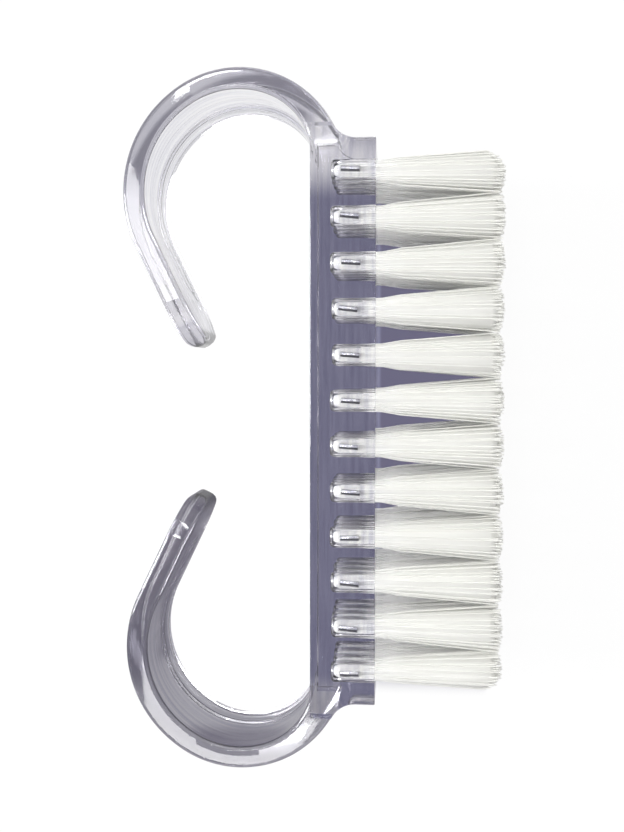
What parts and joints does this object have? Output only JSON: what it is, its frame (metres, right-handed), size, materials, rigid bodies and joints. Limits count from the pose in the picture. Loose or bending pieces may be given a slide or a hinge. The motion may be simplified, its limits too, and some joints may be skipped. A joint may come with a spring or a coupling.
{
  "type": "nail brush",
  "caption": "Small nail brush: a clear plastic block with a hooked finger grip at each end of its back and dense tufts of white nylon bristle in front.",
  "frame": {"origin": "middle of the side that the brush lies on: centred along X and Y, with Z = 0 on the surface under it", "axes": "+X the way the bristles point, +Y along the block, +Z across the width of the block, up from the surface that the brush lies on"},
  "size_m": [0.035, 0.065, 0.015],
  "materials": {
    "clear_plastic": "polished clear plastic with a faint violet grey cast",
    "nylon_filament": "dense white nylon filament with a satin sheen",
    "steel_wire": "plain flat steel wire"
  },
  "bodies": {
    "root": {"body": "clear_plastic", "tuft_row_01": "nylon_filament", "tuft_row_02": "nylon_filament", "tuft_row_03": "nylon_filament", "tuft_row_04": "nylon_filament", "tuft_row_05": "nylon_filament", "tuft_row_06": "nylon_filament", "tuft_row_07": "nylon_filament", "tuft_row_08": "nylon_filament", "tuft_row_09": "nylon_filament", "tuft_row_10": "nylon_filament", "tuft_row_11": "nylon_filament", "tuft_row_12": "nylon_filament", "anchor_row_01": "steel_wire", "anchor_row_02": "steel_wire", "anchor_row_03": "steel_wire", "anchor_row_04": "steel_wire", "anchor_row_05": "steel_wire", "anchor_row_06": "steel_wire", "anchor_row_07": "steel_wire", "anchor_row_08": "steel_wire", "anchor_row_09": "steel_wire", "anchor_row_10": "steel_wire", "anchor_row_11": "steel_wire", "anchor_row_12": "steel_wire"}
  },
  "joints": []
}
